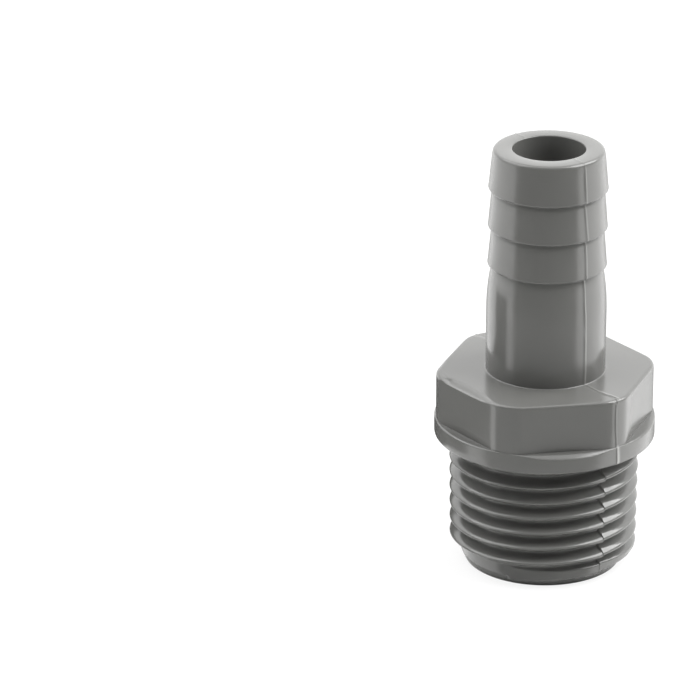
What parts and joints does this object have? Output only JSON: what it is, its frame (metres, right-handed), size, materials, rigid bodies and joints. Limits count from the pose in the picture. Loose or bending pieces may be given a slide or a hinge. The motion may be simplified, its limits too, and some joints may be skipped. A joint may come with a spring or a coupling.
{
  "type": "hose barb connector",
  "caption": "Straight moulded plastic adapter from a male pipe thread to a barbed hose tail, with a spanner hexagon and round collar between them and a flow bore right through.",
  "frame": {"origin": "centre of the end face of the male thread, which is the face the connector stands on", "axes": "+Z along the axis from the thread towards the nose of the hose tail; -Y towards the flat of the hexagon that faces the viewer"},
  "size_m": [0.0242, 0.0242, 0.0477],
  "materials": {
    "moulded_plastic": "injection-moulded mid grey, glossy with faint mould marks"
  },
  "bodies": {
    "root": {"connector_body": "moulded_plastic"}
  },
  "joints": []
}
